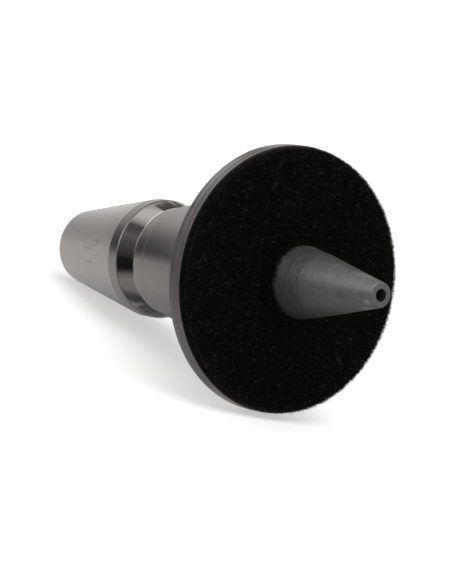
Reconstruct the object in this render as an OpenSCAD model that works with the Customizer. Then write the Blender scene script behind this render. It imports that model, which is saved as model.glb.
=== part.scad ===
// Pick-up nozzle for a surface-mount placement machine, standing on the flat end of its
// taper shank with the tip up. Everything is turned about the Z axis. The origin is the
// centre of the shank's rear end face, and all lengths run up from there, in millimetres.

/* [Shank taper] */
// Diameter of the taper where it would meet the rear end face with a sharp corner
taper_small_d = 5.6; // [5.2:0.02:7]
// Length of the taper from the rear end face to the collar
taper_len = 9.85; // [7:0.05:16]
// Radius of the rounded rear edge
end_round = 0.95; // [0.2:0.05:1.2]

/* [Collar and clip groove] */
// Diameter of the parallel collar at the large end of the taper
collar_d = 9.24; // [9:0.02:11]
// Length of the parallel collar
collar_len = 1.04; // [0.6:0.02:2.5]
// Break on the collar's front edge
collar_break = 0.06; // [0.02:0.01:0.2]
// Length of the polished conical flank that leads down into the groove
flank_len = 1.7; // [1:0.05:3]
// Diameter at the floor of the groove
groove_d = 8.3; // [7:0.05:8.6]
// Length of the groove's parallel floor
groove_floor_len = 1.26; // [0.5:0.02:2]
// Fillet between the flank and the groove's floor
groove_fillet = 0.5; // [0.1:0.05:1]

/* [Neck] */
// Diameter of the neck, where the maker's marking usually goes
neck_d = 8.98; // [8.8:0.02:11]
// Length of the neck from the groove to the disc
neck_len = 11.43; // [6:0.01:20]
// Depth of the shallow bevel on the neck's rear edge, measured from the neck inwards
neck_bevel = 0.13; // [0.05:0.01:0.25]
// Length of that bevel along the neck
neck_bevel_len = 0.36; // [0.1:0.02:0.8]
// Chamfer on the neck's front edge, under the disc
neck_front_break = 0.1; // [0.02:0.01:0.3]

/* [Air passage and seats] */
// Diameter of the vacuum bore through the shank
vacuum_bore_d = 2.6; // [1.6:0.05:3.2]
// Width of the countersink at the mouth of the vacuum bore
bore_mouth = 0.2; // [0.05:0.05:0.3]
// Diameter of the spigot that locates the disc
spigot_d = 6.2; // [5.6:0.05:7.5]
// Diameter of the socket that holds the tip's stem
socket_d = 4; // [3.4:0.05:4.6]
// Depth of the socket below the spigot's front face
socket_depth = 6; // [3:0.1:9]
// Radial gap that the bonding adhesive fills round the disc, the sheet and the stem
bond_gap = 0.02; // [0.01:0.005:0.05]

/* [Reflector disc and flock] */
// Diameter of the reflector disc and of the sheet bonded to it
disc_d = 20; // [14:0.2:30]
// Thickness of the reflector disc
disc_t = 0.61; // [0.3:0.01:1.5]
// Break on the edges of the disc
disc_break = 0.06; // [0.02:0.01:0.12]
// Thickness of the grey backing sheet that carries the flock
backing_t = 0.61; // [0.2:0.01:1]
// Break on the edges of the backing sheet
backing_break = 0.04; // [0.01:0.01:0.08]
// Height of the flock pile above its backing
pile_h = 0.72; // [0.4:0.02:1.5]
// How far the foot of the pile stays inside the edge of the backing
pile_inset = 0.2; // [0.05:0.01:0.4]
// How far the pile splays outwards between its foot and its top
pile_splay = 0.19; // [0:0.01:0.2]
// Radius of the pile's soft outer edge
pile_round = 0.2; // [0.05:0.01:0.35]
// Radial gap between the pile and the root of the tip
pile_gap = 0.04; // [0.02:0.01:0.2]

/* [Tip] */
// Diameter of the tip's cylindrical root
root_d = 5.44; // [4.8:0.02:5.56]
// Length of the root above the spigot it stands on
root_len = 2.56; // [2.1:0.02:4]
// Diameter where the gentle cone above the root turns into the nose
ring_d = 4.68; // [3.6:0.02:4.8]
// Length of the gentle cone
ring_len = 2.2; // [1:0.05:4]
// Outer diameter of the nose at its face, before the rim is rounded
nose_d = 1.84; // [1.6:0.02:2.4]
// Length of the nose
nose_len = 6.72; // [4:0.02:10]
// Radius of the nose's worn rim
nose_round = 0.1; // [0.05:0.01:0.2]
// Diameter of the pick-up orifice
orifice_d = 0.94; // [0.5:0.02:1.1]
// Length of the pick-up orifice
orifice_len = 4.2; // [2:0.1:4.5]
// Diameter of the wider bore behind the orifice
tip_bore_d = 2; // [1.2:0.05:2.3]
// Length of the stem bonded into the socket
stem_len = 5.6; // [2:0.1:8]
// Chamfer on the end of the stem
stem_chamfer = 0.25; // [0.05:0.05:0.5]

/* [Hidden] */
$fn = 96;
arc_steps = 6;
drill_point_angle = 118;

// Stations up the axis
collar_z = taper_len;
flank_z = collar_z + collar_len;
floor_z = flank_z + flank_len;
neck_z = floor_z + groove_floor_len;
disc_z = neck_z + neck_len;
spigot_z = disc_z + disc_t;
backing_z = spigot_z;
pile_z = backing_z + backing_t;
socket_z = spigot_z - min(socket_depth, neck_len - 1);
root_z = spigot_z + root_len;
ring_z = root_z + ring_len;
face_z = ring_z + nose_len;
stem_z = spigot_z - min(stem_len, spigot_z - socket_z - bond_gap);
orifice_z = face_z - orifice_len;
drill_z = orifice_z - (tip_bore_d - orifice_d) / 2 / tan(drill_point_angle / 2);

// Rounds the corner b between the lines to a and c with a tangent arc of radius r
function unit(v) = v / norm(v);
function heading(v) = atan2(v[1], v[0]);
function turn(from, to) = to - from - 360 * round((to - from) / 360);
function rounded(a, b, c, r) =
    let (
        u = unit(a - b),
        v = unit(c - b),
        half = acos(u * v) / 2,
        centre = b + unit(u + v) * r / sin(half),
        start = heading(b + u * r / tan(half) - centre),
        sweep = turn(start, heading(b + v * r / tan(half) - centre))
    )
    [for (i = [0 : arc_steps]) centre + r * [cos(start + sweep * i / arc_steps),
                                             sin(start + sweep * i / arc_steps)]];

// A washer with broken outer edges, from height z up to z + t
module washer(outer_d, inner_d, z, t, edge) {
    rotate_extrude()
        polygon([
            [inner_d / 2, z],
            [outer_d / 2 - edge, z],
            [outer_d / 2, z + edge],
            [outer_d / 2, z + t - edge],
            [outer_d / 2 - edge, z + t],
            [inner_d / 2, z + t]
        ]);
}

// Turned shank in one piece: taper, collar, clip groove, neck and disc spigot, bored through
module shank() {
    mouth_r = vacuum_bore_d / 2 + bore_mouth;
    end_r = min(end_round, 1.1 * (taper_small_d / 2 - mouth_r));
    end_corner = [taper_small_d / 2, 0];
    taper_top = [collar_d / 2, collar_z];
    flank_top = [collar_d / 2 - collar_break, flank_z];
    floor_start = [groove_d / 2, floor_z];
    floor_end = [groove_d / 2, neck_z];
    color([0.45, 0.43, 0.41])
    rotate_extrude()
        polygon(concat(
            [[vacuum_bore_d / 2, bore_mouth], [mouth_r, 0]],
            rounded([mouth_r, 0], end_corner, taper_top, end_r),
            [taper_top, [collar_d / 2, flank_z - collar_break], flank_top],
            rounded(flank_top, floor_start, floor_end, groove_fillet),
            [
                floor_end,
                [neck_d / 2 - neck_bevel, neck_z],
                [neck_d / 2, neck_z + neck_bevel_len],
                [neck_d / 2, disc_z - neck_front_break],
                [neck_d / 2 - neck_front_break, disc_z],
                [spigot_d / 2, disc_z],
                [spigot_d / 2, spigot_z],
                [socket_d / 2, spigot_z],
                [socket_d / 2, socket_z],
                [vacuum_bore_d / 2, socket_z]
            ]
        ));
}

// Thin round plate that sits on the neck's shoulder, located by the spigot
module reflector_disc() {
    color([0.38, 0.36, 0.34])
    washer(disc_d, spigot_d + 2 * bond_gap, disc_z, disc_t, disc_break);
}

// Sheet bonded to the front of the disc, with a hole for the root of the tip
module flock_backing() {
    color([0.36, 0.34, 0.33])
    washer(disc_d, root_d + 2 * bond_gap, backing_z, backing_t, backing_break);
}

// Black velvet pile: a soft pad that splays a little towards its top
module flock_pile() {
    foot_r = disc_d / 2 - pile_inset;
    top_r = foot_r + pile_splay;
    hole_r = root_d / 2 + pile_gap;
    foot = [foot_r, pile_z];
    inner_top = [hole_r, pile_z + pile_h];
    color([0.02, 0.02, 0.02])
    rotate_extrude()
        polygon(concat(
            [[hole_r, pile_z], foot],
            rounded(foot, [top_r, pile_z + pile_h], inner_top, pile_round),
            [inner_top]
        ));
}

// Turned tip: stem, root, gentle cone and nose, with a wide bore that ends in the orifice
module tip() {
    stem_r = socket_d / 2 - bond_gap;
    ring = [ring_d / 2, ring_z];
    rim = [nose_d / 2, face_z];
    color([0.36, 0.36, 0.37])
    rotate_extrude()
        polygon(concat(
            [
                [tip_bore_d / 2, stem_z],
                [stem_r - stem_chamfer, stem_z],
                [stem_r, stem_z + stem_chamfer],
                [stem_r, spigot_z],
                [root_d / 2, spigot_z],
                [root_d / 2, root_z],
                ring
            ],
            rounded(ring, rim, [orifice_d / 2, face_z], nose_round),
            [
                [orifice_d / 2, face_z],
                [orifice_d / 2, orifice_z],
                [tip_bore_d / 2, drill_z]
            ]
        ));
}

shank();
reflector_disc();
flock_backing();
flock_pile();
tip();
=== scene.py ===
"""The looks of a surface-mount pick-up nozzle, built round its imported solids.

The part keeps its own upright frame: rear face of the taper shank at the origin, tip up along Z.
The table is tilted under it instead, so that the nozzle lies on its disc's edge and its rear end.
The steel shank, the reflector disc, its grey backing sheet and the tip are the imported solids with
better finishes.
The black flock is made here: a soft mat, and tens of thousands of separate fibres on it.
Lengths are written in millimetres and turned into metres where a mesh is made.
"""

import math

import bpy
import numpy as np
from mathutils import Matrix, Vector


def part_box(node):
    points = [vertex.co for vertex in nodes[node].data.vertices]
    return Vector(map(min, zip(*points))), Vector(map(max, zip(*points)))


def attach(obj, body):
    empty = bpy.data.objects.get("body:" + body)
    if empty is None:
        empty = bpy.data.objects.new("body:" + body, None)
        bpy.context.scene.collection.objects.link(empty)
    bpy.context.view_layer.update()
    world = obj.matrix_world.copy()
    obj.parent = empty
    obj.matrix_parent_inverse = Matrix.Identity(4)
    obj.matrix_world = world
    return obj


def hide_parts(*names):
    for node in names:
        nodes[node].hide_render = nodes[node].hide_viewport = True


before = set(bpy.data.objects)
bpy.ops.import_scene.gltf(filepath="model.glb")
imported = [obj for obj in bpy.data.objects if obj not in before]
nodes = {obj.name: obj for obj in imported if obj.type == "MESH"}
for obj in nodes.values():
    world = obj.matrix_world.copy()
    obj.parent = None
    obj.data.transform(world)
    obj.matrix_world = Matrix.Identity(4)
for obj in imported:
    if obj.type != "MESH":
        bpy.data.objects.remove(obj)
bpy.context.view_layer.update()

MM = 0.001
TAU = 2 * math.pi
rng = np.random.default_rng(57)

# Places along the axis and round it, in millimetres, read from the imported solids
disc_low, disc_high = (np.array(c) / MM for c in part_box("reflector_disc"))
pile_low, pile_high = (np.array(c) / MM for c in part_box("flock_pile"))
_, tip_high = (np.array(c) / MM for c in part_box("tip"))
DISC_R = disc_high[0]
PILE_FOOT_Z = pile_low[2]
PILE_TOP_Z = pile_high[2]
PILE_R = pile_high[0]
ROOT_R = tip_high[0]
FACE_Z = tip_high[2]
NOSE_LEN, CONE_LEN = 6.72, 2.2
RING_Z = FACE_Z - NOSE_LEN
ROOT_TOP_Z = FACE_Z - (NOSE_LEN + CONE_LEN)

# Ends of the polished flank, which leads from the collar down into the clip groove
FLANK_Z, FLOOR_Z = 10.89, 12.59

# Where the rounded rear edge of the shank meets the table, out from the axis and up it
REST_X, REST_Z = 2.79, 0.62


# ---------------------------------------------------------------------------- meshes

def piece_from_arrays(name, points, faces, body="root", slot=None):
    """A mesh piece from arrays: points in millimetres (n, 3), and faces as rows of indices."""
    mesh = bpy.data.meshes.new(name)
    mesh.from_pydata((np.asarray(points) * MM).tolist(), [], np.asarray(faces).tolist())
    mesh.polygons.foreach_set("use_smooth", np.ones(len(mesh.polygons), bool))
    mesh.update()
    made = bpy.data.objects.new(name, mesh)
    bpy.context.scene.collection.objects.link(made)
    if body:
        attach(made, body)
    return made


def give_points(piece, name, values):
    """Writes one number a point into the piece's mesh, as the attribute called name."""
    field = piece.data.attributes.new(name, "FLOAT", "POINT")
    field.data.foreach_set("value", np.asarray(values, np.float32))


def smooth_step(low, high, x):
    """Rises from 0 at low to 1 at high as 3t^2 - 2t^3."""
    t = np.clip((np.asarray(x, float) - low) / (high - low), 0, 1)
    return t * t * (3 - 2 * t)


def lattice_noise(x, y, pitch, seed):
    """Smooth noise in -1..1 over a plane: random values on a square lattice of that pitch,
    joined by the cubic 3t^2 - 2t^3 in x and in y."""
    grid = np.random.default_rng(seed).uniform(-1, 1, (257, 257))
    u, v = x / pitch + 128, y / pitch + 128
    i, j = np.floor(u).astype(int), np.floor(v).astype(int)
    s, t = u - i, v - j
    s, t = s * s * (3 - 2 * s), t * t * (3 - 2 * t)
    i, j = np.clip(i, 0, 255), np.clip(j, 0, 255)
    low = grid[i, j] * (1 - s) + grid[i + 1, j] * s
    high = grid[i, j + 1] * (1 - s) + grid[i + 1, j + 1] * s
    return low * (1 - t) + high * t


def ring_grid(rows, columns):
    """Quads of a grid that closes on itself both ways: point (row, column) is row * columns + column."""
    r, c = np.meshgrid(np.arange(rows), np.arange(columns), indexing="ij")
    r1, c1 = (r + 1) % rows, (c + 1) % columns
    corners = [r * columns + c, r * columns + c1, r1 * columns + c1, r1 * columns + c]
    return np.stack(corners, -1).reshape(-1, 4)


# ---------------------------------------------------------------------------- flock

MAT_TOP_Z = PILE_TOP_Z - 0.20
MAT_BUMP = 0.05


def flock_mat():
    """The dense part of the pile. A closed profile (radius, height) runs out along the foot,
    up the splayed side, over the round edge and back across the top, and is carried round the
    axis. The top is raised by two layers of lattice noise."""
    foot_in, foot_out, top_out, edge = ROOT_R + 0.04, PILE_R - 0.19, PILE_R - 0.1, 0.22
    bend = np.linspace(0, math.pi / 2, 6)
    side = [(foot_in, PILE_FOOT_Z), (foot_out, PILE_FOOT_Z)]
    corner = [(top_out - edge + edge * math.cos(a), MAT_TOP_Z - edge + edge * math.sin(a)) for a in bend]
    across = [(r, MAT_TOP_Z) for r in np.linspace(top_out - edge, foot_in, 90)[1:]]
    profile = np.array(side + corner + across)
    angle = np.linspace(0, TAU, 384, endpoint=False)
    r = np.repeat(profile[:, :1], len(angle), 1)
    z = np.repeat(profile[:, 1:], len(angle), 1)
    x, y = r * np.cos(angle), r * np.sin(angle)
    lift = MAT_BUMP * (0.6 * lattice_noise(x, y, 0.34, 3) + 0.4 * lattice_noise(x, y, 0.15, 4))
    z = z + lift * smooth_step(PILE_FOOT_Z + 0.1, MAT_TOP_Z, z)
    points = np.stack([x, y, z], -1).reshape(-1, 3)
    return points, ring_grid(len(profile), len(angle))


def needles(base, direction, length, width):
    """Tapered three-sided needles. Needle i starts at base[i] and runs length[i] along the unit
    vector direction[i]. Its foot is a triangle of that width."""
    n = len(base)
    helper = np.where(np.abs(direction[:, 2:]) < 0.9, [[0.0, 0.0, 1.0]], [[1.0, 0.0, 0.0]])
    u = np.cross(direction, helper)
    u /= np.linalg.norm(u, axis=1)[:, None]
    v = np.cross(direction, u)
    turn = np.arange(3) * TAU / 3
    foot = base[:, None] + (width[:, None, None] / 2) * (
        np.cos(turn)[None, :, None] * u[:, None] + np.sin(turn)[None, :, None] * v[:, None])
    apex = base + direction * length[:, None]
    points = np.concatenate([foot, apex[:, None]], 1).reshape(-1, 3)
    k = (np.arange(n) * 4)[:, None]
    faces = np.concatenate([k + [[0, 1, 3]], k + [[1, 2, 3]], k + [[2, 0, 3]], k + [[0, 2, 1]]])
    return points, faces


def unit(v):
    return v / np.linalg.norm(v, axis=-1, keepdims=True)


def spread_over_disc(count, inner, outer):
    """Points spread evenly over a ring: the radius is the root of a number drawn evenly between
    the squares of the two radii."""
    r = np.sqrt(rng.uniform(inner ** 2, outer ** 2, count))
    a = rng.uniform(0, TAU, count)
    return r, a


def round_ways(a):
    """Unit vectors outwards, sideways and up at the angles a."""
    zero = 0 * a
    return (np.stack([np.cos(a), np.sin(a), zero], -1), np.stack([-np.sin(a), np.cos(a), zero], -1),
            np.stack([zero, zero, zero + 1], -1))


def shades(count, pale_share, level=0.55):
    """How pale each fibre is. Most are near black, up to level, and the given share catches light."""
    dark = level * rng.beta(0.5, 6.0, count)
    pale = rng.uniform(0.3, 1.0, count)
    return np.where(rng.uniform(0, 1, count) < pale_share, pale, dark)


def top_fibres(count=46000):
    """Fibres standing in the mat. Each leans a little at random, and outwards near the rim. Pale
    ones come in clumps and grow thicker. Towards the rim all are painted paler, as a painted sheen of the
    edge."""
    r, a = spread_over_disc(count, ROOT_R + 0.02, PILE_R - 0.1)
    out, _, up = round_ways(a)
    near_rim = smooth_step(PILE_R - 1.1, PILE_R, r)[:, None]
    way = unit(rng.normal(0, 0.36, (count, 3)) * [1, 1, 0] + out * 0.55 * near_rim + up)
    start = out * r[:, None] + up * (MAT_TOP_Z - 0.08)
    clump = 0.5 + 0.5 * lattice_noise(r * np.cos(a), r * np.sin(a), 0.26, 21)
    shade = shades(count, 0.03, 1.8) * (0.3 + 2.2 * clump ** 3)
    # Painted sheen: fibres are made paler towards the rim, as the edge of the pile catching light.
    shade = np.clip(shade + 0.9 * near_rim[:, 0] * rng.beta(1, 3, count), 0, 1)
    length = rng.uniform(0.18, 0.36, count)
    width = rng.uniform(0.024, 0.04, count) * (1 + 0.7 * shade)
    return needles(start, way, length, width), shade


def rim_fibres(count=17000):
    """Fibres fanned out of the edge of the mat, from nearly flat to nearly upright."""
    a = rng.uniform(0, TAU, count)
    rise = rng.uniform(0, 1, count)
    out, side, up = round_ways(a)
    slope = np.radians(2 + 74 * rise)[:, None]
    way = unit(out * np.cos(slope) + up * np.sin(slope) + side * rng.normal(0, 0.4, count)[:, None])
    start = out * (PILE_R - 0.34 + 0.12 * rise + 0.06 * rng.uniform(0, 1, count))[:, None] + \
        up * (PILE_FOOT_Z + 0.08 + (MAT_TOP_Z - PILE_FOOT_Z - 0.12) * rise)[:, None]
    # Paler rim fibres, more so the upright ones: partly pale dusty hairs, partly a painted sheen along the
    # edge.
    shade = np.clip(shades(count, 0.16) + (0.25 + 0.45 * rise) * rng.beta(1, 3, count), 0, 1)
    length = 0.16 + 0.36 * rng.beta(1.2, 1.8, count)
    width = rng.uniform(0.022, 0.036, count)
    return needles(start, way, length, width), shade


def stray_fibres(count=420):
    """Longer loose fibres, which stand out of the pile here and there and past its edge."""
    r, a = spread_over_disc(count, ROOT_R + 0.3, PILE_R - 0.05)
    r = np.where(rng.uniform(0, 1, count) < 0.45, PILE_R - 0.12, r)
    out, _, up = round_ways(a)
    outwards = (0.9 * smooth_step(PILE_R - 0.3, PILE_R - 0.1, r))[:, None]
    way = unit(rng.normal(0, 0.75, (count, 3)) * [1, 1, 0.2] + out * outwards + up * 0.75)
    start = out * r[:, None] + up * (MAT_TOP_Z - 0.1)
    length = rng.uniform(0.3, 0.52, count)
    width = rng.uniform(0.018, 0.026, count)
    return needles(start, way, length, width), rng.uniform(0.1, 0.8, count)


def lint_fibres(count=230):
    """Pale specks and hairs of dust, lying on the pile and along the edge of the backing."""
    a = rng.uniform(0, TAU, count)
    on_edge = rng.uniform(0, 1, count) < 0.65
    r_edge = PILE_R - 0.16 + 0.12 * rng.uniform(0, 1, count)
    r_top = (PILE_R - 0.4) * np.sqrt(rng.uniform(0.1, 1, count))
    r = np.where(on_edge, r_edge, r_top)
    out, side, up = round_ways(a)
    z = np.where(on_edge, PILE_FOOT_Z + 0.05, PILE_TOP_Z - 0.07)
    turn = rng.uniform(0, TAU, count)[:, None]
    way = unit(out * np.cos(turn) + side * np.sin(turn) + up * rng.normal(0.1, 0.15, count)[:, None])
    return needles(out * r[:, None] + up * z[:, None], way, 0.05 + 0.28 * rng.beta(1, 3, count),
                   rng.uniform(0.03, 0.06, count)), rng.uniform(0.5, 1.0, count)


def clinging_fibres(count=15000):
    """Fibres caught on the glue at the foot of the tip. They lie thickly against its root and thin
    out upwards, at a height that wanders round the root."""
    a = rng.uniform(0, TAU, count)
    out, side, up = round_ways(a)
    reach = ROOT_TOP_Z - 0.25 - MAT_TOP_Z + 0.07 * lattice_noise(np.cos(a) * 3, np.sin(a) * 3, 0.5, 8)
    rise = np.where(rng.uniform(0, 1, count) < 0.06, rng.uniform(0.9, 1.3, count), rng.beta(1.0, 1.15, count))
    start = out * (ROOT_R + 0.015 + (0.26 * (1 - rise) + 0.03) * rng.uniform(0, 1, count))[:, None] + \
        up * (MAT_TOP_Z - 0.05 + reach * rise)[:, None]
    outwards = (0.16 + rng.normal(0, 0.25, count))[:, None]
    way = unit(out * outwards + side * rng.normal(0, 0.55, count)[:, None] + up)
    length = rng.uniform(0.14, 0.3, count)
    width = rng.uniform(0.026, 0.04, count)
    return needles(start, way, length, width), shades(count, 0.09, 0.7)


def fibre_piece(name, made):
    """A piece of needles, with the shade of each fibre written on its four points."""
    (points, faces), shade = made
    piece = piece_from_arrays(name, points, faces, slot="black_flock")
    give_points(piece, "shade", np.repeat(shade, 4))
    return piece


mat_piece = piece_from_arrays("flock_mat", *flock_mat(), slot="black_flock")
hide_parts("flock_pile")
fibre_pieces = [
    fibre_piece("flock_fibres", top_fibres()),
    fibre_piece("flock_rim_fibres", rim_fibres()),
    fibre_piece("flock_root_fibres", clinging_fibres()),
    fibre_piece("flock_stray_fibres", stray_fibres()),
    fibre_piece("flock_lint", lint_fibres()),
]


# ---------------------------------------------------------------------------- nodes

def wire(tree, kind, sockets=None, **settings):
    """Adds a node. settings are its own properties, and sockets gives each input a value or a link."""
    made = tree.nodes.new(kind)
    for key, value in settings.items():
        setattr(made, key, value)
    for key, value in (sockets or {}).items():
        if isinstance(value, bpy.types.NodeSocket):
            tree.links.new(value, made.inputs[key])
        else:
            made.inputs[key].default_value = value
    return made


def sums(tree, operation, *values, clamp=False):
    """One Math node, whose result comes back."""
    made = wire(tree, "ShaderNodeMath", dict(enumerate(values)), operation=operation, use_clamp=clamp)
    return made.outputs[0]


def new_group(name, inputs, outputs):
    """A shader node group with those named sockets. inputs holds (name, kind, value) and outputs
    (name, kind)."""
    tree = bpy.data.node_groups.new(name, "ShaderNodeTree")
    for label, kind, value in inputs:
        socket = tree.interface.new_socket(label, in_out="INPUT", socket_type="NodeSocket" + kind)
        if value is not None:
            socket.default_value = value
    for label, kind in outputs:
        tree.interface.new_socket(label, in_out="OUTPUT", socket_type="NodeSocket" + kind)
    return tree, tree.nodes.new("NodeGroupInput").outputs, tree.nodes.new("NodeGroupOutput").inputs


def use(tree, group, sockets):
    """Places a group in a material with its own values, and gives its outputs."""
    return wire(tree, "ShaderNodeGroup", sockets, node_tree=group).outputs


def axis_place_group():
    """Where a point is, in millimetres, and its height up the axis."""
    tree, given, out = new_group("axis_place", [("Place", "Vector", None)],
                                 [("Height", "Float"), ("Place mm", "Vector")])
    scaled = wire(tree, "ShaderNodeVectorMath", {0: given["Place"], "Scale": 1 / MM}, operation="SCALE")
    mm = scaled.outputs[0]
    parts = wire(tree, "ShaderNodeSeparateXYZ", {0: mm}).outputs
    tree.links.new(parts[2], out["Height"])
    tree.links.new(mm, out["Place mm"])
    return tree


def turning_lines_group():
    """Fine lines that run round the axis, as turning or brushing leaves them."""
    tree, given, out = new_group("turning_lines",
        [("Place mm", "Vector", None), ("Lines", "Float", 9.0), ("Wander", "Float", 0.25)],
        [("Fine", "Float"), ("Broad", "Float")])
    parts = wire(tree, "ShaderNodeSeparateXYZ", {0: given["Place mm"]}).outputs
    for label, factor in (("Fine", 1.0), ("Broad", 0.22)):
        along = sums(tree, "MULTIPLY", parts[2], sums(tree, "MULTIPLY", given["Lines"], factor))
        x = sums(tree, "MULTIPLY", parts[0], given["Wander"])
        y = sums(tree, "MULTIPLY", parts[1], given["Wander"])
        spot = wire(tree, "ShaderNodeCombineXYZ", {0: x, 1: y, 2: along}).outputs[0]
        noise = wire(tree, "ShaderNodeTexNoise",
                     {"Vector": spot, "Scale": 1.0, "Detail": 3.0, "Roughness": 0.6})
        tree.links.new(noise.outputs[0], out[label])
    return tree


def band_group():
    """1 between two heights and 0 outside them, with soft ends."""
    tree, given, out = new_group("band", [("Height", "Float", 0.0), ("From", "Float", 0.0),
                                          ("To", "Float", 1.0), ("Soft", "Float", 0.05)], [("Mask", "Float")])
    above = sums(tree, "SUBTRACT", given["Height"], given["From"])
    below = sums(tree, "SUBTRACT", given["To"], given["Height"])
    rise = sums(tree, "DIVIDE", above, given["Soft"], clamp=True)
    fall = sums(tree, "DIVIDE", below, given["Soft"], clamp=True)
    tree.links.new(sums(tree, "MULTIPLY", rise, fall), out["Mask"])
    return tree


def spot_group():
    """A soft spot: 1 at a place on the part, falling to 0 at a reach given along x, y and z in
    millimetres."""
    inputs = [(label, "Vector", None) for label in ("Place mm", "At", "Reach")]
    tree, given, out = new_group("spot", inputs, [("Mask", "Float")])
    away = wire(tree, "ShaderNodeVectorMath", {0: given["Place mm"], 1: given["At"]},
                operation="SUBTRACT").outputs[0]
    share = wire(tree, "ShaderNodeVectorMath", {0: away, 1: given["Reach"]}, operation="DIVIDE").outputs[0]
    far = wire(tree, "ShaderNodeVectorMath", {0: share}, operation="LENGTH").outputs["Value"]
    tree.links.new(sums(tree, "SUBTRACT", 1.0, far, clamp=True), out["Mask"])
    return tree


def grain_group():
    """Even noise in space, at so many grains a millimetre."""
    tree, given, out = new_group("grain", [("Place mm", "Vector", None), ("Grains", "Float", 4.0)],
                                 [("Value", "Float")])
    spot = wire(tree, "ShaderNodeVectorMath", {0: given["Place mm"], "Scale": given["Grains"]},
                operation="SCALE").outputs[0]
    noise = wire(tree, "ShaderNodeTexNoise", {"Vector": spot, "Scale": 1.0, "Detail": 4.0, "Roughness": 0.6})
    tree.links.new(noise.outputs[0], out["Value"])
    return tree


AXIS_PLACE = axis_place_group()
TURNING = turning_lines_group()
BAND = band_group()
SPOT = spot_group()
GRAIN = grain_group()


def new_material(name):
    """An empty material, with its tree, its Principled BSDF and the place of each point in millimetres."""
    made = bpy.data.materials.new(name)
    made.use_nodes = True
    tree = made.node_tree
    tree.nodes.clear()
    shader = tree.nodes.new("ShaderNodeBsdfPrincipled")
    tree.links.new(shader.outputs[0], tree.nodes.new("ShaderNodeOutputMaterial").inputs[0])
    place = use(tree, AXIS_PLACE, {"Place": tree.nodes.new("ShaderNodeTexCoord").outputs["Object"]})
    return made, tree, shader, place


def dress(piece, material):
    piece.data.materials.clear()
    piece.data.materials.append(material)


def mix_colours(tree, factor, a, b):
    return wire(tree, "ShaderNodeMix", {"Factor": factor, 6: a, 7: b}, data_type="RGBA").outputs[2]


def mix_values(tree, factor, a, b):
    return wire(tree, "ShaderNodeMix", {"Factor": factor, 2: a, 3: b}, data_type="FLOAT").outputs[0]


def stretched(tree, value, low, high):
    """A value moved from low..high to 0..1 and held there."""
    return wire(tree, "ShaderNodeMapRange", {0: value, 1: low, 2: high, 3: 0.0, 4: 1.0}).outputs[0]


def marks(tree, place, spots):
    """The strongest of several soft spots, given as (place, reach) in millimetres."""
    strongest = None
    for at, reach in spots:
        mask = use(tree, SPOT, {"Place mm": place["Place mm"], "At": at, "Reach": reach})["Mask"]
        strongest = mask if strongest is None else sums(tree, "MAXIMUM", strongest, mask)
    return strongest


def band(tree, place, low, high, soft):
    return use(tree, BAND, {"Height": place["Height"], "From": low, "To": high, "Soft": soft})["Mask"]


TAPER_SCUFFS = [((0.12, -3.99, 5.9), (0.2, 0.9, 1.5)), ((1.2, -3.9, 6.2), (0.17, 0.9, 1.1)),
                ((-0.45, -4.2, 7.3), (0.2, 0.9, 1.2)), ((-0.15, -4.1, 7.0), (0.15, 0.8, 0.9))]


def shank_steel():
    """Satin steel with turning lines round it, a polished flank, a painted highlight line round the clip
    groove at the foot of the flank, and a few scuffs on the taper."""
    made, tree, shader, place = new_material("shank_steel")
    lines = use(tree, TURNING, {"Place mm": place["Place mm"], "Lines": 16.0, "Wander": 0.03})
    grain = use(tree, GRAIN, {"Place mm": place["Place mm"], "Grains": 3.2})["Value"]
    fine_grain = use(tree, GRAIN, {"Place mm": place["Place mm"], "Grains": 11.0})["Value"]
    flank = band(tree, place, FLANK_Z + 0.04, FLOOR_Z - 0.02, 0.05)
    turned = stretched(tree, lines["Fine"], 0.3, 0.7)
    colour = mix_colours(tree, turned, (0.375, 0.352, 0.332, 1), (0.445, 0.42, 0.396, 1))
    cloud = sums(tree, "MULTIPLY", stretched(tree, grain, 0.35, 0.7), 0.18)
    colour = mix_colours(tree, cloud, colour, (0.52, 0.50, 0.48, 1))
    speckle = sums(tree, "MULTIPLY", flank, stretched(tree, fine_grain, 0.35, 0.65))
    colour = mix_colours(tree, sums(tree, "MULTIPLY", speckle, 0.3), colour, (0.62, 0.58, 0.54, 1))
    # Painted highlight: a pale cream band round the groove at the foot of the flank, where its rounded edge
    # would catch the light.
    painted_highlight_line = band(tree, place, FLOOR_Z - 0.16, FLOOR_Z + 0.04, 0.05)
    colour = mix_colours(tree, painted_highlight_line, colour, (0.74, 0.69, 0.62, 1))
    scuff = sums(tree, "MULTIPLY", marks(tree, place, TAPER_SCUFFS), stretched(tree, fine_grain, 0.3, 0.6))
    scuff = sums(tree, "MULTIPLY", scuff, 0.7, clamp=True)
    colour = mix_colours(tree, scuff, colour, (0.20, 0.18, 0.165, 1))
    rough = mix_values(tree, stretched(tree, lines["Broad"], 0.3, 0.7), 0.21, 0.27)
    polished = mix_values(tree, stretched(tree, fine_grain, 0.35, 0.65), 0.04, 0.08)
    rough = mix_values(tree, flank, rough, polished)
    tree.links.new(colour, shader.inputs["Base Color"])
    tree.links.new(rough, shader.inputs["Roughness"])
    shader.inputs["Metallic"].default_value = 1.0
    depth = mix_values(tree, flank, lines["Fine"], sums(tree, "MULTIPLY", lines["Fine"], 0.02))
    bump = wire(tree, "ShaderNodeBump", {"Height": depth, "Distance": 0.000003, "Strength": 0.6})
    tree.links.new(bump.outputs[0], shader.inputs["Normal"])
    return made


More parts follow.
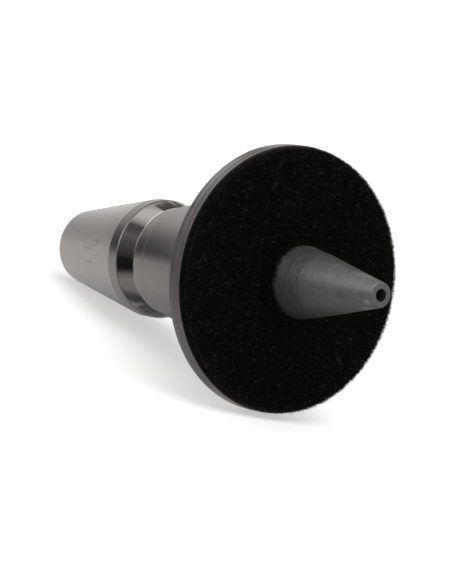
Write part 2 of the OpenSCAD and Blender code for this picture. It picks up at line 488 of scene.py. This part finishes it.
def disc_metal(name, dark, light, rough, patch):
    """Grey metal or sheet with turned edges, cloudy here and there and with one worn patch."""
    made, tree, shader, place = new_material(name)
    lines = use(tree, TURNING, {"Place mm": place["Place mm"], "Lines": 12.0, "Wander": 0.1})
    cloud = use(tree, GRAIN, {"Place mm": place["Place mm"], "Grains": 0.9})["Value"]
    grain = use(tree, GRAIN, {"Place mm": place["Place mm"], "Grains": 7.0})["Value"]
    blend = sums(tree, "ADD", sums(tree, "MULTIPLY", stretched(tree, cloud, 0.3, 0.7), 0.6),
                 sums(tree, "MULTIPLY", stretched(tree, grain, 0.3, 0.7), 0.4))
    colour = mix_colours(tree, blend, (*dark, 1), (*light, 1))
    worn = sums(tree, "MULTIPLY", marks(tree, place, patch), 0.55)
    colour = mix_colours(tree, worn, colour, (0.58, 0.56, 0.54, 1))
    tree.links.new(colour, shader.inputs["Base Color"])
    tree.links.new(mix_values(tree, blend, rough - 0.04, rough + 0.05), shader.inputs["Roughness"])
    shader.inputs["Metallic"].default_value = 1.0
    bump = wire(tree, "ShaderNodeBump", {"Height": lines["Fine"], "Distance": 0.000003, "Strength": 0.5})
    tree.links.new(bump.outputs[0], shader.inputs["Normal"])
    return made


NOSE_SMUDGES = [((0.48, -1.42, 34.54), (0.32, 0.5, 0.5)), ((1.33, -1.9, 30.7), (0.5, 0.6, 0.3)),
                ((0.7, -2.3, 30.1), (0.8, 0.6, 0.2)), ((0.2, -1.9, 32.6), (0.12, 0.5, 1.2))]
NOSE_TICKS = [((-0.49, -2.22, 30.96), (0.09, 0.4, 0.34)), ((-0.2, -2.35, 30.5), (0.16, 0.4, 0.1)),
              ((-1.6, -1.7, 30.3), (0.4, 0.5, 0.12))]
# Pale spots near the face: partly bright worn metal, partly painted highlights on the rounded edge.
NOSE_WEAR_AND_HIGHLIGHTS = [((-1.2, -0.3, 35.7), (0.35, 0.6, 1.7)), ((1.1, -0.2, 36.4), (0.22, 0.5, 1.0)),
             ((0.66, -0.77, 36.85), (0.35, 0.4, 0.5))]


def tip_steel():
    """Dull dark steel, finely turned: a dark hairline part of the way round the gentle cone, a dark
    corner above it, smudges and ticks, and pale worn spots near the face that are partly painted highlights."""
    made, tree, shader, place = new_material("tip_steel")
    lines = use(tree, TURNING, {"Place mm": place["Place mm"], "Lines": 10.0, "Wander": 0.45})
    grain = use(tree, GRAIN, {"Place mm": place["Place mm"], "Grains": 2.2})["Value"]
    fine_grain = use(tree, GRAIN, {"Place mm": place["Place mm"], "Grains": 9.0})["Value"]
    across = wire(tree, "ShaderNodeSeparateXYZ", {0: place["Place mm"]}).outputs[0]
    turned = stretched(tree, lines["Fine"], 0.3, 0.7)
    colour = mix_colours(tree, turned, (0.285, 0.285, 0.290, 1), (0.315, 0.314, 0.318, 1))
    pale_cloud = sums(tree, "MULTIPLY", stretched(tree, grain, 0.35, 0.65), 0.5)
    colour = mix_colours(tree, pale_cloud, colour, (0.43, 0.425, 0.425, 1))
    dark_fleck = sums(tree, "MULTIPLY", stretched(tree, fine_grain, 0.45, 0.7), 0.3)
    colour = mix_colours(tree, dark_fleck, colour, (0.20, 0.198, 0.20, 1))
    corner = sums(tree, "MULTIPLY", band(tree, place, RING_Z - 0.18, RING_Z + 0.05, 0.12),
                  stretched(tree, grain, 0.35, 0.55))
    hairline = sums(tree, "MULTIPLY", band(tree, place, ROOT_TOP_Z + 0.93, ROOT_TOP_Z + 1.0, 0.03),
                    sums(tree, "SUBTRACT", 1.0, stretched(tree, across, 0.2, 0.7)))
    smudge = sums(tree, "MULTIPLY", marks(tree, place, NOSE_SMUDGES), stretched(tree, fine_grain, 0.35, 0.6))
    tick = sums(tree, "MULTIPLY", marks(tree, place, NOSE_TICKS), stretched(tree, fine_grain, 0.38, 0.5))
    dark = sums(tree, "MAXIMUM", sums(tree, "MULTIPLY", corner, 0.4), sums(tree, "MULTIPLY", hairline, 0.8))
    spots = sums(tree, "MAXIMUM", sums(tree, "MULTIPLY", smudge, 0.5), tick)
    dark = sums(tree, "MAXIMUM", dark, spots, clamp=True)
    colour = mix_colours(tree, dark, colour, (0.07, 0.068, 0.066, 1))
    # Pale worn spots near the face, partly painted highlights where the rounded edge catches light.
    wear_and_highlight = sums(tree, "MULTIPLY", marks(tree, place, NOSE_WEAR_AND_HIGHLIGHTS), stretched(tree, fine_grain, 0.3, 0.6))
    colour = mix_colours(tree, sums(tree, "MULTIPLY", wear_and_highlight, 0.9), colour, (0.78, 0.76, 0.73, 1))
    tree.links.new(colour, shader.inputs["Base Color"])
    rough = mix_values(tree, stretched(tree, grain, 0.35, 0.7), 0.38, 0.48)
    tree.links.new(rough, shader.inputs["Roughness"])
    shader.inputs["Metallic"].default_value = 0.93
    bump = wire(tree, "ShaderNodeBump", {"Height": lines["Fine"], "Distance": 0.000002, "Strength": 0.05})
    tree.links.new(bump.outputs[0], shader.inputs["Normal"])
    return made


def black_flock():
    """Black fibres. A fibre's shade, kept on its points, takes it from near black to warm grey; near the rim
    of the pile it also holds a painted sheen.
    """
    made, tree, shader, place = new_material("black_flock")
    shade = wire(tree, "ShaderNodeAttribute", attribute_name="shade").outputs["Fac"]
    patches = use(tree, GRAIN, {"Place mm": place["Place mm"], "Grains": 1.4})["Value"]
    deep = mix_colours(tree, patches, (0.0024, 0.0027, 0.0021, 1), (0.0072, 0.0074, 0.0063, 1))
    tree.links.new(mix_colours(tree, shade, deep, (0.095, 0.091, 0.083, 1)), shader.inputs["Base Color"])
    shader.inputs["Roughness"].default_value = 0.8
    shader.inputs["Specular IOR Level"].default_value = 0.01
    return made


dress(nodes["shank"], shank_steel())
dress(nodes["reflector_disc"], disc_metal("disc_metal", (0.33, 0.315, 0.30), (0.42, 0.40, 0.38), 0.33,
                                          [((8.96, -4.45, 25.8), (0.9, 1.6, 0.5))]))
dress(nodes["flock_backing"], disc_metal("backing_sheet", (0.31, 0.295, 0.283), (0.38, 0.362, 0.345), 0.42,
                                         [((8.9, -4.6, 26.1), (0.5, 0.9, 0.3))]))
dress(nodes["tip"], tip_steel())
flock = black_flock()
for piece in [mat_piece, *fibre_pieces]:
    dress(piece, flock)


# ---------------------------------------------------------------------------- stage

def camera_place(elevation, roll, distance, lens, right, down, look_z):
    """A camera on azimuth 0, that looks along +Y and down, turned about its line of sight by roll.
    The point on the axis at look_z lies right and down of the picture's middle by those lengths."""
    e = math.radians(elevation)
    back = Vector((0, -math.cos(e), math.sin(e)))
    level = back.to_track_quat("Z", "Y").to_matrix()
    turn = Matrix.Rotation(math.radians(roll), 3, back)
    axes = turn @ level
    spot = Vector((0, 0, look_z)) - axes.col[0] * right + axes.col[1] * down + back * distance
    data = bpy.data.cameras.new("camera")
    data.lens = lens
    data.sensor_width = 36
    data.clip_start, data.clip_end = 0.02, 10
    made = bpy.data.objects.new("camera", data)
    made.matrix_world = Matrix.Translation(spot) @ axes.to_4x4()
    bpy.context.scene.collection.objects.link(made)
    bpy.context.scene.camera = made


camera_place(elevation=52.53, roll=99.95, distance=0.25, lens=208.1,
             right=4.583 * MM, down=-0.907 * MM, look_z=26.52 * MM)

DISC_EDGE = 0.06
TABLE_GAP = 0.02


def table_plane(name, half):
    """The table top. It touches the rear end of the shank and the edge of the disc, as the nozzle
    lies on it: the line through (REST_X, REST_Z) and (DISC_R, disc foot) in the XZ plane, carried
    along Y, with its upper side towards the nozzle."""
    run, rise = DISC_R - REST_X, disc_low[2] + DISC_EDGE - REST_Z
    way = np.array([run, 0, rise]) / math.hypot(run, rise)
    up = np.array([-way[2], 0, way[0]])
    middle = (np.array([REST_X, 0, REST_Z]) + np.array([DISC_R, 0, disc_low[2]])) / 2 - TABLE_GAP * up
    side = np.array([0, 1.0, 0])
    signs = ((-1, -1), (-1, 1), (1, 1), (1, -1))
    corners = [middle * MM + half * (a * way + b * side) for a, b in signs]
    mesh = bpy.data.meshes.new(name)
    mesh.from_pydata([tuple(c) for c in corners], [], [(0, 1, 2, 3)])
    mesh.update()
    if mesh.polygons[0].normal.dot(Vector(up)) < 0:
        mesh.flip_normals()
    made = bpy.data.objects.new(name, mesh)
    bpy.context.scene.collection.objects.link(made)
    return made


def seen_directly(tree, path):
    """1 for what the camera, a mirror or glass sees, and 0 for light that only falls on things."""
    mirrored = sums(tree, "ADD", path["Is Glossy Ray"], path["Is Transmission Ray"])
    return sums(tree, "ADD", path["Is Camera Ray"], mirrored, clamp=True)


def paper_white():
    """White floor paper. What is seen of it directly is lifted to white, and the shadow stays. From
    below the camera looks through it."""
    made = bpy.data.materials.new("floor_paper")
    made.use_nodes = True
    tree = made.node_tree
    tree.nodes.clear()
    path = tree.nodes.new("ShaderNodeLightPath").outputs
    seen = seen_directly(tree, path)
    matt = wire(tree, "ShaderNodeBsdfDiffuse", {"Color": (0.9, 0.9, 0.9, 1)}).outputs[0]
    strength = sums(tree, "MULTIPLY", seen, 0.45)
    lift = wire(tree, "ShaderNodeEmission", {"Color": (1, 1, 1, 1), "Strength": strength}).outputs[0]
    both = wire(tree, "ShaderNodeAddShader", {0: matt, 1: lift}).outputs[0]
    back = tree.nodes.new("ShaderNodeNewGeometry").outputs["Backfacing"]
    under = sums(tree, "MULTIPLY", back, path["Is Camera Ray"])
    clear = tree.nodes.new("ShaderNodeBsdfTransparent").outputs[0]
    mixed = wire(tree, "ShaderNodeMixShader", {0: under, 1: both, 2: clear}).outputs[0]
    tree.links.new(mixed, tree.nodes.new("ShaderNodeOutputMaterial").inputs[0])
    return made


floor = table_plane("floor", 3.0)
floor.visible_glossy = False
dress(floor, paper_white())


def soft_sun(name, way, spread, strength):
    """Soft even light that comes from the direction way, from a disc of sky so many degrees wide.
    Metal shows the cards instead of it."""
    data = bpy.data.lights.new(name, "SUN")
    data.angle = math.radians(spread)
    data.energy = strength
    made = bpy.data.objects.new(name, data)
    made.matrix_world = Vector(way).to_track_quat("Z", "Y").to_matrix().to_4x4()
    made.visible_glossy = False
    bpy.context.scene.collection.objects.link(made)


soft_sun("key", way=(-0.93, 0.05, 0.42), spread=60, strength=1.22)


# Brightness of the cards at angles round the axis, in degrees from -Y towards +X, for each ring of
# cards from the floor near the nozzle up to the dome
CARD_TONES = {
    "near": [(-180, 0.5), (-140, 0.92), (-91, 0.88), (-64, 0.7), (-40, 0.55), (-30, 0.52),
             (-15, 0.56), (0, 0.72), (30, 0.72), (51, 0.68), (91, 0.44), (123, 0.25), (150, 0.16),
             (180, 0.5)],
    "low": [(-180, 0.7), (-150, 0.98), (-128, 0.78), (-105, 0.66), (-74, 0.6), (-60, 0.5),
            (-47, 0.33), (-34, 0.18), (-20, 0.08), (-7, 0.08), (0, 0.18), (5, 0.34), (11, 0.48),
            (30, 0.52), (60, 0.47), (80, 0.38), (110, 0.31), (140, 0.18), (180, 0.7)],
    "flank": [(-180, 0.5), (-145, 0.3), (-112, 0.12), (-102, 0.12), (-97, 0.75), (-90, 0.97),
              (-68, 0.95), (-60, 0.8), (-52, 0.45), (-47, 0.14), (-40, 0.12), (-28, 0.2),
              (-15, 0.12), (-4, 0.09), (5, 0.05), (10, 0.02), (24, 0.015), (29, 0.06), (34, 0.2),
              (43, 0.34), (60, 0.3), (70, 0.2), (84, 0.08), (120, 0.06), (150, 0.3), (180, 0.5)],
    "rim": [(-180, 0.9), (-150, 1.1), (-132, 1.25), (-118, 0.9), (-105, 0.4), (-91, 0.27),
            (-74, 0.24), (-60, 0.26), (-47, 0.22), (-34, 0.19), (-20, 0.11), (-8, 0.12), (2, 0.2),
            (13, 0.34), (30, 0.42), (50, 0.46), (80, 0.62), (105, 0.66), (118, 0.55), (132, 0.42),
            (150, 0.3), (180, 0.9)],
    "line": [(-180, 0.5), (-145, 0.3), (-118, 0.12), (-102, 0.12), (-97, 0.75), (-90, 0.97),
             (-10, 0.95), (-5, 0.12), (5, 0.05), (10, 0.02), (24, 0.015), (29, 0.04), (34, 0.08),
             (43, 0.12), (60, 0.12), (84, 0.08), (120, 0.06), (150, 0.3), (180, 0.5)],
    "dome": [(-180, 0.26), (-110, 0.5), (-95, 0.9), (-60, 0.9), (-40, 0.6), (-20, 0.34), (0, 0.24),
             (60, 0.2), (120, 0.2), (180, 0.26)],
    "high": [(-180, 0.3), (-140, 0.14), (-110, 0.14), (-90, 0.17), (-74, 0.22), (-50, 0.29),
             (-27, 0.33), (-10, 0.34), (10, 0.3), (25, 0.28), (45, 0.3), (80, 0.28), (110, 0.2),
             (140, 0.2), (180, 0.3)],
}


WALL_R = 25
DOME_ALONG = 60
DARK_CARD, BRIGHT_CARD = 0.11, 1.1


def reflection_drum():
    """Grey and white cards round the nozzle that glow by themselves, though they are no lamps, and show only
    in its
    reflections: painted reflections for the metal. A profile (radius, height) runs out along the floor and up
    a wall, and is carried round the axis.
    The tone at an angle comes from straight lines between the cards' tones. The rings of cards are
    joined by smooth steps of along, which is the height less the distance inwards from the wall:
    below 0 on the floor, the height on the wall, and one value over the whole dome. Two dark cards
    lie on the floor by the wall, one on each side, and one bright card stands high on the wall."""
    floor_part = [(r, 0.05) for r in (3, 5, 7.4, 8.2, 9, 12, 14, 16, 16.6, 17.2,
                                      18.2, 18.6, 19, 19.4, 20, 20.6, 21.2, 22, 23, 23.5)]
    bend_part = [(24.4, 0.35), (24.8, 1.15)]
    wall_part = [(WALL_R, z) for z in (1.95, 2.95, 3.95, 4.75, 5.55, 6.55, 8, 9.5, 11, 12.5,
                                       14.5, 17.5, 21, 22.5, 24.5, 27, 29, 31.5, 45)]
    dome_part = [(24, 60), (21, 72), (13, 80), (3, 84), (0.05, 84.2)]
    profile = np.array(floor_part + bend_part + wall_part + dome_part)
    count = 720
    angle = np.linspace(-180, 180, count, endpoint=False)
    a = np.radians(angle)
    r = np.repeat(profile[:, :1], count, 1)
    z = np.repeat(profile[:, 1:], count, 1)
    x, y = r * np.sin(a), -r * np.cos(a)
    tones = {name: np.interp(angle, *zip(*knots)) for name, knots in CARD_TONES.items()}
    below_dome = np.arange(len(profile)) < len(profile) - len(dome_part)
    along = np.where(below_dome, profile[:, 1] + profile[:, 0] - WALL_R, DOME_ALONG)[:, None]
    width = np.abs(angle)
    edge = -5.9 - 0.15 * (width - 92)
    deep = smooth_step(edge - 0.3, edge + 0.3, along) * smooth_step(-1.5, -2.5, along)
    deep = deep * smooth_step(92, 95, width) * smooth_step(146, 138, width)
    tone = tones["near"] + (tones["low"] - tones["near"]) * smooth_step(-17.4, -15.6, along)
    tone = tone + (tones["line"] - tone) * smooth_step(-5.4, -4.6, along)
    tone = tone + (tones["flank"] - tone) * smooth_step(-2.6, -1.8, along)
    tone = tone + (DARK_CARD - tone) * deep
    start = 4.15 - 7.0 * smooth_step(98, 125, width)
    tone = tone + (tones["rim"] - tone) * smooth_step(start, start + 1.4, along)
    tone = tone + (tones["high"] - tone) * smooth_step(10.5, 14.5, along)
    tone = tone + (tones["dome"] - tone) * smooth_step(23, 27, along)
    glint = smooth_step(22.5, 24.5, along) * smooth_step(31, 28, along)
    glint = glint * smooth_step(-50, -42, angle) * smooth_step(-8, -14, angle)
    tone = tone + (BRIGHT_CARD - tone) * glint
    rows = len(profile)
    faces = ring_grid(rows, count)[: (rows - 1) * count]
    made = piece_from_arrays("reflection_drum", np.stack([x, y, z], -1).reshape(-1, 3), faces, body=None)
    give_points(made, "tone", tone.reshape(-1))
    # Painted reflections: the cards glow with their tone, though they are no lamps.
    paint = bpy.data.materials.new("card_tones")
    paint.use_nodes = True
    tree = paint.node_tree
    tree.nodes.clear()
    shade = wire(tree, "ShaderNodeAttribute", attribute_name="tone").outputs["Fac"]
    glow = wire(tree, "ShaderNodeEmission", {"Color": (1, 1, 1, 1), "Strength": shade}).outputs[0]
    tree.links.new(glow, tree.nodes.new("ShaderNodeOutputMaterial").inputs[0])
    dress(made, paint)
    made.visible_camera = made.visible_diffuse = made.visible_shadow = False
    made.visible_transmission = made.visible_volume_scatter = False


reflection_drum()


def studio_air():
    """Even white air: half strength as light on things, and white where it is seen directly."""
    world = bpy.data.worlds.new("studio")
    bpy.context.scene.world = world
    world.use_nodes = True
    tree = world.node_tree
    tree.nodes.clear()
    path = tree.nodes.new("ShaderNodeLightPath").outputs
    seen = seen_directly(tree, path)
    strength = mix_values(tree, seen, 0.5, 1.0)
    back = wire(tree, "ShaderNodeBackground", {"Color": (1, 1, 1, 1), "Strength": strength}).outputs[0]
    tree.links.new(back, tree.nodes.new("ShaderNodeOutputWorld").inputs[0])


studio_air()
bpy.context.scene.view_settings.view_transform = "Standard"
